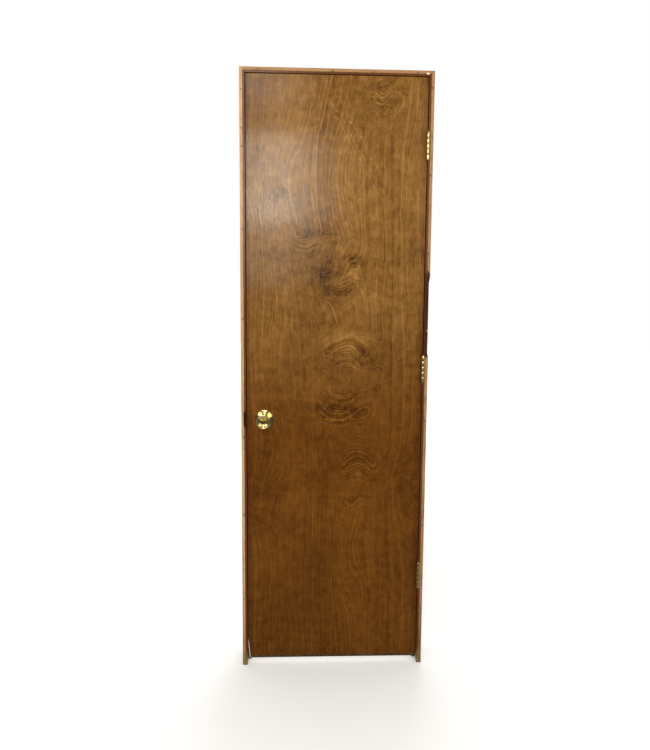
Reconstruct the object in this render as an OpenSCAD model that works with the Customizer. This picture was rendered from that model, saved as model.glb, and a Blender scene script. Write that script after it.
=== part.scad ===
// Interior door hung in its frame: a hollow-core flush slab on three butt hinges,
// with a knob set that has a turn button on its front side.
// X runs across the doorway, Y into the wall, Z up. The origin is on the floor,
// at the middle of the doorway, in the plane of the frame's front edges.

/* [Slab] */
// Width of the slab
slab_w = 609.6; // [600:0.1:900]
// Height of the slab
slab_h = 2032; // [1980:1:2080]
// Thickness of the slab
slab_t = 34.9; // [34.5:0.1:36]
// Thickness of each veneered skin
skin_t = 3.2; // [2.8:0.1:3.4]
// Width of each stile
stile_w = 28; // [27:0.5:34]
// Height of each rail
rail_h = 60; // [40:1:90]
// Thickness of the strips in the core
strip_t = 3; // [2:0.5:4]

/* [Frame] */
// Thickness of the frame's boards
jamb_t = 17.5; // [17:0.1:20]
// Depth of the frame, front to back
jamb_depth = 116; // [110:1:140]
// Gap beside and above the slab
gap = 3; // [2.8:0.1:3.2]
// Gap under the slab
undercut = 27; // [15:1:30]
// How far the slab's face stands behind the frame's front edges
face_back = 1; // [0.5:0.1:1.5]
// Depth of the notch in each leg that holds the head
housing = 7.5; // [6:0.5:9]
// Width of the door stop
stop_w = 32; // [28:1:40]
// Thickness of the door stop
stop_t = 11; // [9:0.5:12]

/* [Hinges] */
// Height of a hinge
hinge_h = 89; // [85:1:92]
// Middle of the bottom hinge, above the slab's lower edge
hinge_low = 310; // [250:1:340]
// Middle of the middle hinge, above the slab's lower edge
hinge_mid = 1056; // [980:1:1100]
// Middle of the top hinge, below the slab's upper edge
hinge_top = 223; // [180:1:260]
// Thickness of a hinge leaf
leaf_t = 2.3; // [2:0.1:2.4]
// Radius of a hinge knuckle
knuckle_r = 5.6; // [5.4:0.1:5.8]
// Radius of a hinge pin
pin_r = 3; // [2.9:0.05:3.1]

/* [Lockset] */
// Height of the knob above the slab's lower edge
knob_up = 877; // [800:1:1000]
// Distance from the slab's edge to the knob's axis
backset = 60.3; // [60:0.1:62]
// Radius of the rose
rose_r = 33.3; // [33:0.1:35]
// How far the knob stands out from the slab
knob_out = 58; // [56:0.5:62]
// Radius of the knob's rim
knob_r = 24.2; // [22:0.1:25]
// How far the latch bolt moves
throw = 9.5; // [8:0.1:9.5]

/* [Hidden] */
$fn = 48;

pine = "burlywood";
stained = "saddlebrown";
brass = "gold";
steel = "silver";
card = "tan";

inner_x = slab_w / 2 + gap;
outer_x = inner_x + jamb_t;
slab_top = undercut + slab_h;
head_z = slab_top + gap;
total_h = head_z + jamb_t;
mid_y = face_back + slab_t / 2;
back_y = face_back + slab_t;
stop_y = back_y + 1.5;
core_y = face_back + skin_t;
core_t = slab_t - 2 * skin_t;
foot_round = 3;

hinge_x = inner_x - gap / 2;
hinge_y = -6.5;
hinge_z = [undercut + hinge_low, undercut + hinge_mid, slab_top - hinge_top];
leaf_reach = 35.5;
knuckle_gap = 0.3;
knuckle_h = (hinge_h - 4 * knuckle_gap) / 5;
pin_fit = 0.05;
tip_h = 4;
tip_r = 4.7;
spigot_h = 6;
leaf_holes = [[15, 32], [26, 0], [15, -32]];
screw_r = 2;
screw_len = 16;
head_r = 4.2;
head_h = 2.1;

knob_x = -slab_w / 2 + backset;
knob_z = undercut + knob_up;
edge_x = -slab_w / 2;
cross_r = 27;
edge_bore_r = 12.7;
case_r = 11.5;
case_wall = 2;
plate_h = 57;
plate_w = 25.4;
plate_t = 2;
strike_w = 28;
strike_t = 1.6;
pocket_h = 20;
pocket_w = 16;
pocket_depth = 14;
strike_hole = [-6.6, 7, 8];
bolt_w = 12;
bolt_h = 14;
bolt_len = 20;
lock_block_w = 100;
lock_block_h = 300;
plate_screw_z = 20.6;
screw_post_z = 20.5;
scoop_r = 58;
scoop_deep = 8.2;
scoop_y = 5;

neck_r = 10.2;
bore_r = 4;
spindle_r = 3.9;
bar_r = 1.5;
stem_r = 2.3;
dish_h = knob_out - 7;
neck_hole_r = neck_r + 0.3;
mount_t = 1.5;
post_len = 20;
bore_low = 3;
bore_top = 45;
cam_r = 5.2;
lobe_r = 15;
lobe_rest = 80;
hook_rest = 8.3 + throw;
hook_t = 2.3;
wire_r = 0.6;
coil_r = 4.6;
coil_turns = 6;
button_h = 4.5;

// Heights and places of the holes that the casing's nails left
left_nails = [250, 560, 840, 1252, 1555, 1826, 1884, 2008];
right_nails = [190, 520, 900, 1479, 1742, 2025];
head_nails = [-263, -15, 268];
nail_hole_r = 1.1;

corner_nail_y = [20, 58, 96];
leg_brads = [for (i = [0:6]) 120 + 300 * i];
head_brads = [-230, 0, 230];

// A torn-off splinter of the hinge leg's outer front corner
torn_from = 1127;
torn_to = 1401;
torn_x = 11.5;
torn_y = 17;

function arc(cx, cy, r, from, to, n = 8) =
    [for (i = [0:n]) let (a = from + (to - from) * i / n) [cx + r * cos(a), cy + r * sin(a)]];

// Cylinders along X and along Y, starting at the given place
module rod_x(r, h) { rotate([0, 90, 0]) cylinder(r = r, h = h); }
module rod_y(r, h) { rotate([-90, 0, 0]) cylinder(r = r, h = h); }

// A box given by its two corners
module block(low, high) { translate(low) cube(high - low); }

// ---- screws, nails and their holes ----

// Flat-headed screw with a cross recess, its head at z = 0 and its shank along +Z
module wood_screw(len) {
    tip = 4;
    difference() {
        union() {
            cylinder(h = head_h, r1 = head_r, r2 = screw_r);
            translate([0, 0, head_h]) cylinder(h = len - head_h - tip, r = screw_r);
            translate([0, 0, len - tip]) cylinder(h = tip, r1 = screw_r, r2 = 0.4);
        }
        for (a = [0, 90]) rotate([0, 0, a]) translate([-2.3, -0.45, -0.1]) cube([4.6, 0.9, 1.3]);
    }
}

// Pilot hole for a screw, open at z = 0
module pilot(len) { translate([0, 0, -1]) cylinder(h = len + 1.5, r = screw_r + 0.1); }

// Countersunk hole through a plate that is thick along +Z
module sink(thick) {
    translate([0, 0, -0.1]) cylinder(h = thick + 0.2, r = screw_r + 0.3);
    translate([0, 0, -0.01]) cylinder(h = head_h, r1 = head_r + 0.25, r2 = screw_r + 0.25);
}

// Puts its children at a hinge leaf's screws. side is 1 for the frame and -1 for the slab
module at_leaf_screws(side) {
    for (z = hinge_z)
        for (h = leaf_holes)
            translate([hinge_x + side * gap / 2, hinge_y + h[0], z + h[1]])
                rotate([0, side * 90, 0])
                    children();
}

// Puts its children at the two screws of the strike plate
module at_strike_screws() {
    for (s = [-1, 1])
        translate([-inner_x, mid_y, knob_z + s * plate_screw_z])
            rotate([0, -90, 0])
                children();
}

// Puts its children at the two screws of the latch faceplate
module at_faceplate_screws() {
    for (s = [-1, 1])
        translate([edge_x, mid_y, knob_z + s * plate_screw_z])
            rotate([0, 90, 0])
                children();
}

// Puts its children at the nails that hold the head to the legs, pointing inwards
module at_corner_nails() {
    for (s = [-1, 1])
        for (y = corner_nail_y)
            translate([s * outer_x, y, head_z + jamb_t / 2])
                rotate([0, -s * 90, 0])
                    children();
}

// Puts its children at the door stop's brads, pointing into the frame
module at_stop_brads() {
    y = stop_y + stop_w / 2;
    for (s = [-1, 1])
        for (z = leg_brads)
            translate([s * (inner_x - stop_t), y, z]) rotate([0, s * 90, 0]) children();
    for (x = head_brads) translate([x, y, head_z - stop_t]) children();
}

module nail(r, len, top_r, top_h) {
    cylinder(h = top_h, r = top_r);
    cylinder(h = len - 2, r = r);
    translate([0, 0, len - 2]) cylinder(h = 2, r1 = r, r2 = 0.2);
}

module corner_nail(grow = 0) { nail(1.3 + grow, 50, 3 + grow, 1.5 + grow); }
module brad(grow = 0) { nail(0.7 + grow, 25, 1.1 + grow, 1 + grow); }

module casing_nail_hole() { translate([0, -1, 0]) rod_y(nail_hole_r, 13); }

// ---- frame ----

// One leg, standing on the floor, on the +X side
module leg() {
    difference() {
        block([inner_x, 0, 0], [outer_x, jamb_depth, total_h]);
        block([inner_x - 1, -1, head_z], [inner_x + housing, jamb_depth + 1, total_h + 1]);
        for (s = [0, 1])
            translate([inner_x + s * jamb_t, 0, 0])
                mirror([s, 0, 0])
                    foot_corner();
    }
}

// What a rounded foot corner takes away
module foot_corner() {
    difference() {
        block([-1, -1, -1], [foot_round, jamb_depth + 1, foot_round]);
        translate([foot_round, -2, foot_round]) rod_y(foot_round, jamb_depth + 4);
    }
}

module leaf_mortises(side) {
    for (z = hinge_z)
        translate([hinge_x + side * (gap + leaf_t) / 2, hinge_y + leaf_reach / 2, z])
            cube([leaf_t + 0.02, leaf_reach, hinge_h], center = true);
}

module hinge_jamb() {
    color(pine) difference() {
        leg();
        leaf_mortises(1);
        at_leaf_screws(1) pilot(screw_len);
        at_corner_nails() corner_nail(0.05);
        at_stop_brads() brad(0.05);
        for (z = right_nails) translate([outer_x - 7, 0, z]) casing_nail_hole();
        translate([0, 0, torn_from]) linear_extrude(torn_to - torn_from)
            polygon([[outer_x - torn_x, -1], [outer_x - torn_x, 0], [outer_x + 1, torn_y], [outer_x + 1, -1]]);
    }
}

module strike_jamb() {
    color(pine) difference() {
        mirror([1, 0, 0]) leg();
        block(
            [-inner_x - strike_t, mid_y - strike_w / 2, knob_z - plate_h / 2],
            [-inner_x + 1, mid_y + strike_w / 2, knob_z + plate_h / 2]
        );
        block(
            [-inner_x - pocket_depth, mid_y - pocket_w / 2, knob_z - pocket_h / 2],
            [-inner_x + 1, mid_y + pocket_w / 2, knob_z + pocket_h / 2]
        );
        translate([-inner_x - scoop_deep + scoop_r, -1, knob_z]) rod_y(scoop_r, scoop_y + 1, $fn = 96);
        at_strike_screws() {
            pilot(screw_len);
            sink(strike_t);
        }
        at_corner_nails() corner_nail(0.05);
        at_stop_brads() brad(0.05);
        for (z = left_nails) translate([-outer_x + 7, 0, z]) casing_nail_hole();
    }
}

module head_jamb() {
    half = inner_x + housing;
    color(pine) difference() {
        block([-half, 0, head_z], [half, jamb_depth, total_h]);
        at_corner_nails() corner_nail(0.05);
        at_stop_brads() brad(0.05);
        for (x = head_nails) translate([x, 0, head_z + 9]) casing_nail_hole();
    }
}

// Section of the door stop: x is its thickness and y its width, with one eased corner
module stop_section() {
    ease = 4;
    square([stop_t - ease, stop_w]);
    translate([0, ease]) square([stop_t, stop_w - ease]);
    translate([stop_t - ease, ease]) circle(r = ease);
}

module leg_stop() {
    translate([inner_x, stop_y, 0]) mirror([1, 0, 0]) linear_extrude(head_z - stop_t) stop_section();
}

module hinge_stop() {
    color(stained) difference() {
        leg_stop();
        at_stop_brads() brad(0.05);
    }
}

module strike_stop() {
    color(stained) difference() {
        mirror([1, 0, 0]) leg_stop();
        at_stop_brads() brad(0.05);
    }
}

module head_stop() {
    color(stained) difference() {
        translate([-inner_x, stop_y, head_z])
            rotate([0, 90, 0])
                linear_extrude(2 * inner_x)
                    stop_section();
        at_stop_brads() brad(0.05);
    }
}

module corner_nails() { color(steel) at_corner_nails() corner_nail(); }
module stop_brads() { color(steel) at_stop_brads() brad(); }

// ---- hinges ----

// A leaf about its pin: the frame's leaf has the first, third and fifth knuckles
module leaf(for_frame) {
    own = for_frame ? [0, 2, 4] : [1, 3];
    clear = knuckle_r + 0.6;
    difference() {
        union() {
            translate([gap / 2, clear, -hinge_h / 2]) cube([leaf_t, leaf_reach - clear, hinge_h]);
            for (k = own) translate([0, 0, -hinge_h / 2 + k * (knuckle_h + knuckle_gap)]) {
                cylinder(r = knuckle_r, h = knuckle_h);
                translate([gap / 2, 3.3, 0]) cube([leaf_t, clear - 3.2, knuckle_h]);
            }
        }
        translate([0, 0, -hinge_h]) cylinder(r = pin_r + pin_fit, h = 2 * hinge_h);
        for (h = leaf_holes)
            translate([gap / 2, h[0], h[1]]) rotate([0, 90, 0]) sink(leaf_t);
    }
}

module frame_leaf(i) {
    color(brass) translate([hinge_x, hinge_y, hinge_z[i]]) leaf(true);
}

module door_leaf(i) {
    color(brass) translate([hinge_x, hinge_y, hinge_z[i]]) mirror([1, 0, 0]) leaf(false);
}

// Rounded button on the end of a hinge's barrel
module tip() {
    dome = [for (a = [0:10:90]) [tip_r * cos(a), tip_h * sin(a)]];
    rotate_extrude() polygon(concat([[0, 0]], dome));
}

module hinge_pin(i) {
    color(brass) translate([hinge_x, hinge_y, hinge_z[i]]) {
        translate([0, 0, hinge_h / 2]) tip();
        translate([0, 0, -hinge_h / 2 + spigot_h + 0.5])
            cylinder(r = pin_r, h = hinge_h - spigot_h - 0.5);
    }
}

module hinge_tips() {
    color(brass) for (z = hinge_z) translate([hinge_x, hinge_y, z - hinge_h / 2]) {
        mirror([0, 0, 1]) tip();
        cylinder(r = pin_r, h = spigot_h);
    }
}

module top_frame_leaf() { frame_leaf(2); }
module middle_frame_leaf() { frame_leaf(1); }
module bottom_frame_leaf() { frame_leaf(0); }
module top_door_leaf() { door_leaf(2); }
module middle_door_leaf() { door_leaf(1); }
module bottom_door_leaf() { door_leaf(0); }
module top_hinge_pin() { hinge_pin(2); }
module middle_hinge_pin() { hinge_pin(1); }
module bottom_hinge_pin() { hinge_pin(0); }
module frame_leaf_screws() { color(brass) at_leaf_screws(1) wood_screw(screw_len); }
module door_leaf_screws() { color(brass) at_leaf_screws(-1) wood_screw(screw_len); }

// ---- strike ----

module strike_plate() {
    color(brass) difference() {
        block(
            [-inner_x - strike_t, mid_y - strike_w / 2, knob_z - plate_h / 2],
            [-inner_x, mid_y + strike_w / 2, knob_z + plate_h / 2]
        );
        block(
            [-inner_x - strike_t - 1, mid_y + strike_hole[0], knob_z - strike_hole[2]],
            [-inner_x + 1, mid_y + strike_hole[1], knob_z + strike_hole[2]]
        );
        translate([-inner_x - scoop_deep + scoop_r, -1, knob_z]) rod_y(scoop_r, scoop_y + 1, $fn = 96);
        at_strike_screws() sink(strike_t);
    }
}

module strike_screws() { color(brass) at_strike_screws() wood_screw(screw_len); }

// ---- slab ----

// The corner broken off the slab's lower latch side
module chip() {
    low = undercut - 1;
    top = [edge_x - 0.2, face_back - 0.2, undercut + 64];
    polyhedron(
        points = [
            top, [edge_x + 6.3, face_back - 0.2, low], [edge_x - 0.2, face_back + 12, low],
            [edge_x - 0.2, face_back - 0.2, low]
        ],
        faces = [[0, 2, 1], [0, 1, 3], [0, 3, 2], [1, 2, 3]]
    );
}

module skin(front) {
    y = front ? face_back : back_y - skin_t;
    difference() {
        block([-slab_w / 2, y, undercut], [slab_w / 2, y + skin_t, slab_top]);
        translate([knob_x, y - 1, knob_z]) rod_y(cross_r, skin_t + 2);
    }
}

module front_skin() {
    color(stained) difference() {
        skin(true);
        leaf_mortises(-1);
        chip();
    }
}

module back_skin() { color(stained) skin(false); }

module stile() {
    block([slab_w / 2 - stile_w, core_y, undercut], [slab_w / 2, core_y + core_t, slab_top]);
}

module hinge_stile() {
    color(pine) difference() {
        stile();
        leaf_mortises(-1);
        at_leaf_screws(-1) pilot(screw_len);
    }
}

module latch_stile() {
    color(pine) difference() {
        mirror([1, 0, 0]) stile();
        block(
            [edge_x - 1, mid_y - plate_w / 2, knob_z - plate_h / 2],
            [edge_x + plate_t, mid_y + plate_w / 2, knob_z + plate_h / 2]
        );
        translate([edge_x - 1, mid_y, knob_z]) rod_x(edge_bore_r, stile_w + 2);
        at_faceplate_screws() pilot(screw_len);
        chip();
    }
}

module rail(z) {
    half = slab_w / 2 - stile_w;
    color(pine) block([-half, core_y, z], [half, core_y + core_t, z + rail_h]);
}

module top_rail() { rail(slab_top - rail_h); }
module bottom_rail() { rail(undercut); }

module lock_block() {
    x = edge_x + stile_w;
    color(pine) difference() {
        block(
            [x, core_y, knob_z - lock_block_h / 2],
            [x + lock_block_w, core_y + core_t, knob_z + lock_block_h / 2]
        );
        translate([knob_x, core_y - 1, knob_z]) rod_y(cross_r, core_t + 2);
        translate([x - 1, mid_y, knob_z]) rod_x(edge_bore_r, backset - stile_w);
    }
}

// Crossed strips of card that keep the two skins apart
module core_lattice() {
    half = slab_w / 2 - stile_w;
    low = undercut + rail_h;
    high = slab_top - rail_h;
    across = 6;
    up = 20;
    block_right = edge_x + stile_w + lock_block_w;
    color(card) difference() {
        union() {
            for (i = [1:across - 1])
                translate([-half + 2 * half * i / across - strip_t / 2, core_y, low])
                    cube([strip_t, core_t, high - low]);
            for (i = [1:up - 1])
                translate([-half, core_y, low + (high - low) * i / up - strip_t / 2])
                    cube([2 * half, core_t, strip_t]);
        }
        block(
            [-half - 1, core_y - 1, knob_z - lock_block_h / 2 - 0.2],
            [block_right + 0.2, core_y + core_t + 1, knob_z + lock_block_h / 2 + 0.2]
        );
    }
}

// ---- lockset ----

// Puts its children on the knob's axis: +Z points out of the front face, or out of the back one
module on_axis(front) {
    translate([knob_x, front ? face_back : back_y, knob_z])
        rotate([front ? 90 : -90, 0, 0])
            children();
}

// Shallow cone with a rolled rim and a small collar round the knob's neck
module rose() {
    outside = concat([[rose_r, 0]], arc(rose_r - 2, 1.6, 2, 0, 62), [[16.5, 10.2], [14.6, 11.4]]);
    collar = [[13.4, 12.6], [neck_hole_r, 12.6], [neck_hole_r, 11.2], [12.8, 11.2]];
    inside = [[14, 10], [16.2, 8.8], [rose_r - 3.2, 2], [rose_r - 1.2, 0]];
    rotate_extrude($fn = 96) polygon(concat(outside, collar, inside));
}

module front_rose() { color(brass) on_axis(true) rose(); }
module back_rose() { color(brass) on_axis(false) rose(); }

// Plate under a rose, with holes for the two through screws
module mounting_disc() {
    difference() {
        cylinder(r = 29.5, h = mount_t);
        translate([0, 0, -1]) cylinder(r = 11.5, h = mount_t + 2);
        for (s = [-1, 1])
            translate([0, s * screw_post_z, -1]) cylinder(r = screw_r + 0.3, h = mount_t + 2);
    }
}

module front_mounting_plate() { color(steel) on_axis(true) mounting_disc(); }

module back_mounting_plate() {
    color(steel) on_axis(false) {
        mounting_disc();
        for (s = [-1, 1]) translate([0, s * screw_post_z, -post_len]) difference() {
            cylinder(r = 3.8, h = post_len);
            translate([0, 0, -1]) cylinder(r = screw_r + 0.15, h = post_len + 2);
        }
    }
}

// Machine screws that pull the two mounting plates together through the slab
module through_screws() {
    len = slab_t - 4;
    color(steel) on_axis(true) for (s = [-1, 1]) translate([0, s * screw_post_z, 0]) {
        translate([0, 0, -len]) cylinder(r = screw_r, h = len + mount_t + 0.1);
        translate([0, 0, mount_t]) difference() {
            cylinder(r = 3.9, h = 2.4);
            for (a = [0, 90])
                rotate([0, 0, a]) translate([-2.2, -0.45, 1.2]) cube([4.4, 0.9, 2]);
        }
    }
}

// Tube for the bolt, and a flat box for the cam, in one casing
module latch_case() {
    tube_end = knob_x - 21.5;
    box_end = knob_x + 21.6;
    color(steel) translate([0, mid_y, knob_z]) difference() {
        union() {
            translate([edge_x + plate_t, 0, 0]) rod_x(case_r, tube_end - edge_x - plate_t);
            block([tube_end, -7.5, -16], [box_end, 7.5, 16]);
        }
        translate([edge_x, 0, 0]) rod_x(case_r - case_wall, tube_end - edge_x - case_wall);
        block([tube_end + 0.8, -6.7, -15.2], [box_end - 0.8, 6.7, 15.2]);
        block([tube_end - case_wall - 1, -1.8, -9.4], [tube_end + 1, 1.8, -5.9]);
        translate([knob_x, -8, 0]) rod_y(cam_r + 0.4, 16);
    }
}

module latch_faceplate() {
    color(brass) difference() {
        block(
            [edge_x, mid_y - plate_w / 2, knob_z - plate_h / 2],
            [edge_x + plate_t, mid_y + plate_w / 2, knob_z + plate_h / 2]
        );
        block(
            [edge_x - 1, mid_y - bolt_w / 2 - 0.3, knob_z - bolt_h / 2 - 0.3],
            [edge_x + plate_t + 1, mid_y + bolt_w / 2 + 0.3, knob_z + bolt_h / 2 + 0.3]
        );
        at_faceplate_screws() sink(plate_t);
    }
}

module faceplate_screws() { color(brass) at_faceplate_screws() wood_screw(screw_len); }

// ---- moving parts of the lockset ----

// Tulip-shaped knob with a dished face. hole is the radius of the hole in its middle
module knob(hole) {
    steps = 12;
    neck_top = 15;
    rim = 3;
    rim_h = knob_out - rim;
    smooth = [for (i = [0:steps]) let (t = i / steps) [t, t * t * (3 - 2 * t)]];
    flare = [for (p = smooth)
        [neck_r + (knob_r - neck_r) * p[1], neck_top + (rim_h - neck_top) * p[0]]];
    dish = [for (a = [90:-15:0])
        [8 + (knob_r - rim - 9) * sin(a), dish_h + (knob_out - dish_h - 0.3) * (1 - cos(a))]];
    outline = concat([[bore_r, bore_low], [neck_r, bore_low]], flare,
        arc(knob_r - rim, rim_h, rim, 10, 90), dish);
    rotate_extrude($fn = 96) polygon(concat(outline,
        [[hole, dish_h], [hole, bore_top], [bore_r, bore_top]]));
}

module front_knob() { color(brass) on_axis(true) knob(stem_r + 0.3); }
module back_knob() { color(brass) on_axis(false) knob(bar_r); }

// Hollow spindle that joins the knobs and carries the lock bar inside
module spindle() {
    out = bore_top - 0.5;
    color(steel) translate([knob_x, face_back - out, knob_z]) difference() {
        rod_y(spindle_r, slab_t + 2 * out);
        translate([0, -1, 0]) rod_y(bar_r + 0.4, slab_t + 2 * out + 2);
    }
}

// Hub on the spindle, with one lobe that draws the bolt back
module latch_cam() {
    color(steel) translate([knob_x, mid_y, knob_z]) difference() {
        union() {
            translate([0, -6.3, 0]) rod_y(cam_r, 12.6);
            rotate([0, lobe_rest, 0]) block([-2, -1.6, 3], [2, 1.6, lobe_r]);
        }
        translate([0, -7, 0]) rod_y(spindle_r + 0.1, 14);
    }
}

// Bevelled bolt with a tail that hooks behind the cam's lobe, drawn back
module latch_bolt() {
    front = edge_x + 0.2;
    hook = knob_x + hook_rest;
    bevel = 8.5;
    half = bolt_w / 2;
    color(brass) translate([0, mid_y, knob_z]) {
        translate([front, 0, -bolt_h / 2]) linear_extrude(bolt_h) polygon([
            [0, -half], [0, -1], [bevel, half], [bolt_len, half], [bolt_len, -half]
        ]);
        block([front + bolt_len - 5, -1.5, -9], [hook + hook_t, 1.5, -6.2]);
        block([hook, -1.5, -9], [hook + hook_t, 1.5, 14.6]);
    }
}

// Coil spring behind the bolt, pressed short
function coil_ring(x, a) = [for (b = [0:45:315])
    [x + wire_r * sin(b), (coil_r + wire_r * cos(b)) * cos(a), (coil_r + wire_r * cos(b)) * sin(a)]];

module latch_spring() {
    from = edge_x + 0.4 + bolt_len + wire_r;
    to = knob_x - 21.5 - case_wall - 0.2 - wire_r;
    rings = coil_turns * 12;
    points = [for (i = [0:rings]) each coil_ring(from + (to - from) * i / rings, i * 30)];
    sides = [for (i = [0:rings - 1], k = [0:7]) let (n = 8 * i, m = (k + 1) % 8)
        [n + k, n + m, n + 8 + m, n + 8 + k]];
    ends = [[for (k = [7:-1:0]) k], [for (k = [0:7]) 8 * rings + k]];
    color(steel) translate([0, mid_y, knob_z])
        polyhedron(points = points, faces = concat(sides, ends));
}

// Turn button in the front knob's dish, its long side level while unlocked
module button_section(length, width) {
    for (s = [-1, 1]) translate([s * (length - width) / 2, 0]) circle(r = width / 2);
    square([length - width, width], center = true);
}

module turn_button() {
    color(brass) on_axis(true) difference() {
        union() {
            translate([0, 0, bore_top]) cylinder(r = stem_r, h = dish_h - bore_top + 1);
            translate([0, 0, dish_h + 0.5]) linear_extrude(button_h) button_section(18, 12);
        }
        translate([0, 0, dish_h + 0.5 + button_h - 1]) linear_extrude(2) button_section(10, 4.5);
    }
}

module lock_bar() {
    color(steel) on_axis(true)
        translate([0, 0, -slab_t - 30]) cylinder(r = bar_r, h = slab_t + 30 + bore_top);
}

hinge_jamb();
strike_jamb();
head_jamb();
hinge_stop();
strike_stop();
head_stop();
top_frame_leaf();
middle_frame_leaf();
bottom_frame_leaf();
top_hinge_pin();
middle_hinge_pin();
bottom_hinge_pin();
hinge_tips();
frame_leaf_screws();
strike_plate();
strike_screws();
corner_nails();
stop_brads();
front_skin();
back_skin();
hinge_stile();
latch_stile();
top_rail();
bottom_rail();
lock_block();
core_lattice();
top_door_leaf();
middle_door_leaf();
bottom_door_leaf();
door_leaf_screws();
front_rose();
back_rose();
front_mounting_plate();
back_mounting_plate();
through_screws();
latch_case();
latch_faceplate();
faceplate_screws();
front_knob();
back_knob();
spindle();
latch_cam();
latch_bolt();
latch_spring();
turn_button();
lock_bar();
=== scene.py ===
import math

import bmesh
import bpy
from mathutils import Matrix, Vector, noise


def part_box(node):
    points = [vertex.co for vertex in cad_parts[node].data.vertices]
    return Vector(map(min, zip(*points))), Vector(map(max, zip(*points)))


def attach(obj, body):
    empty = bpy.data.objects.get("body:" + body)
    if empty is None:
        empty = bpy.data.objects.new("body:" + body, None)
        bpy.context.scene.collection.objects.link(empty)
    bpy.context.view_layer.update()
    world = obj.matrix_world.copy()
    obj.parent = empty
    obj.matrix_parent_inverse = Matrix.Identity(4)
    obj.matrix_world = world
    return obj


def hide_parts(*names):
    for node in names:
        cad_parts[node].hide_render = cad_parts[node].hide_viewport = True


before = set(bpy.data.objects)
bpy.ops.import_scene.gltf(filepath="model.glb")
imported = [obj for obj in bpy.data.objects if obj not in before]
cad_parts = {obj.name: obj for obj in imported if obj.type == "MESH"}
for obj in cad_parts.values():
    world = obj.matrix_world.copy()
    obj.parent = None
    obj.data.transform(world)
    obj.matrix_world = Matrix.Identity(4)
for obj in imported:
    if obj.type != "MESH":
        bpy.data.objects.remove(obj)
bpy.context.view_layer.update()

MM = 0.001

# ---------------------------------------------------------------- places, read from the frame
slab_lo, slab_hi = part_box("front_skin")
back_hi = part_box("back_skin")[1]
leg_lo, leg_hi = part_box("hinge_jamb")
head_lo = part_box("head_jamb")[0]
knob_lo, knob_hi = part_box("front_knob")
back_knob_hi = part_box("back_knob")[1]

INNER_X = leg_lo.x
OUTER_X = leg_hi.x
HEAD_Z = head_lo.z
DEPTH = leg_hi.y
FACE_Y = slab_lo.y
BACK_Y = back_hi.y
SLAB_X = slab_hi.x
SLAB_Z0 = slab_lo.z
SLAB_Z1 = slab_hi.z
KNOB_X = (knob_lo.x + knob_hi.x) / 2
KNOB_Z = (knob_lo.z + knob_hi.z) / 2

# ---------------------------------------------------------------- wear, as the photo shows it
# The torn stretch of the hinge leg: its heights, and how far it reaches over the front edge and down the side
TORN_Z = (1.127, 1.401)
TORN_X = 11.5 * MM
TORN_Y = 17.0 * MM
# The casing's nail holes: heights on the legs, places along the head, and distance from the legs' outsides
LEFT_NAILS = (0.250, 0.560, 0.840, 1.252, 1.555, 1.826, 1.884, 2.008)
RIGHT_NAILS = (0.190, 0.520, 0.900, 1.479, 1.742, 2.025)
HEAD_NAILS = (-0.263, -0.015, 0.268)
NAIL_IN = 7.0 * MM
# How far the stain reaches over the frame's front edges
EDGE_STAIN = 7.4 * MM
# The slab's broken corner, and how deep it goes
CHIP_X = 6.3 * MM
CHIP_Z = 64.0 * MM
CHIP_Y = 12.0 * MM


def srgb(r, g, b):
    """A colour given as 0-255 screen values, as linear light."""
    out = []
    for v in (r, g, b):
        v /= 255
        out.append(v / 12.92 if v <= 0.04045 else ((v + 0.055) / 1.055) ** 2.4)
    return (*out, 1.0)


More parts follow.
